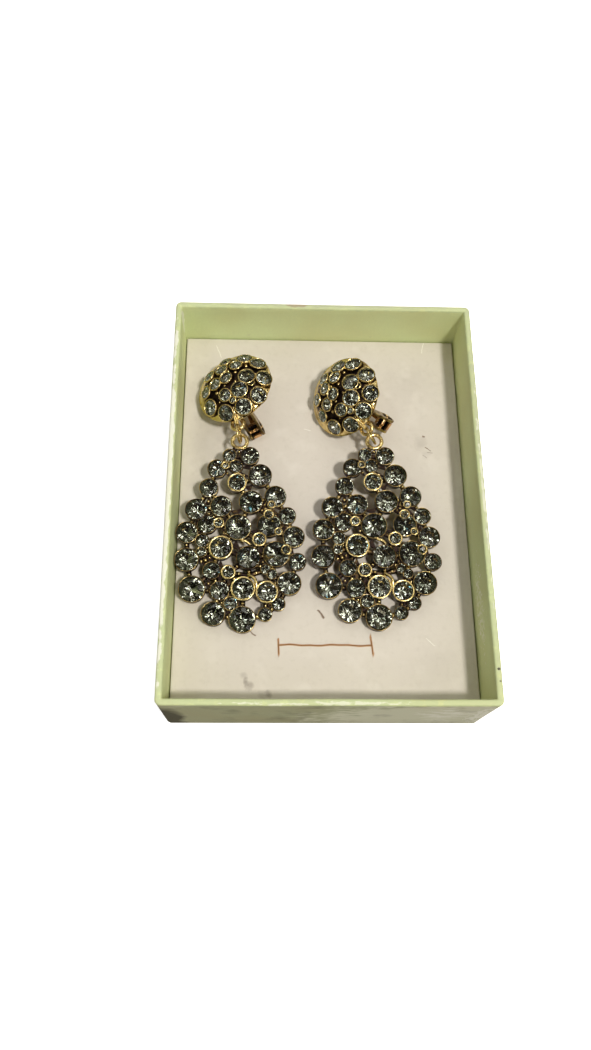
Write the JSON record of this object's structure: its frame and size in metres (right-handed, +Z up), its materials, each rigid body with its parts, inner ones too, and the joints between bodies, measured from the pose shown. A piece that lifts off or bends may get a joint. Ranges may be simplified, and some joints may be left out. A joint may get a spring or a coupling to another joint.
{
  "type": "pair of chandelier clip earrings in a gift box",
  "caption": "Pair of clip-on chandelier earrings, a domed button over an open cluster drop of bezel-set crystals, lying in an open card gift box with a raised slit liner.",
  "frame": {"origin": "centre of the gift box's bottom face", "axes": "+Z up out of the open box, +X across its width to the viewer's right, +Y along its length to the end where the buttons lie"},
  "size_m": [0.085, 0.1152, 0.0307],
  "materials": {
    "card": "matt pale yellow-green paper over card",
    "liner": "matt warm cream",
    "antique_gold": "antiqued, dark in the recesses",
    "crystal": "cut and polished, smoky grey-green"
  },
  "bodies": {
    "root": {"box_tray": "card", "box_liner": "liner", "drop_left": "antique_gold", "jump_ring_left": "antique_gold", "button_left": "antique_gold", "clip_pin_left": "antique_gold", "drop_right": "antique_gold", "jump_ring_right": "antique_gold", "button_right": "antique_gold", "clip_pin_right": "antique_gold"},
    "clip_left": {"clip_lever_left": "antique_gold"},
    "clip_right": {"clip_lever_right": "antique_gold"}
  },
  "joints": [
    {"name": "clip_left_hinge", "type": "hinge", "parent": "root", "child": "clip_left", "pos_m": [-0.01933, 0.02297, 0.01687], "axis": [0.8794, 0.3337, 0.3396], "range_deg": [0, 35]},
    {"name": "clip_right_hinge", "type": "hinge", "parent": "root", "child": "clip_right", "pos_m": [0.01739, 0.02474, 0.01912], "axis": [0.5082, 0.6009, 0.617], "range_deg": [0, 36]}
  ]
}
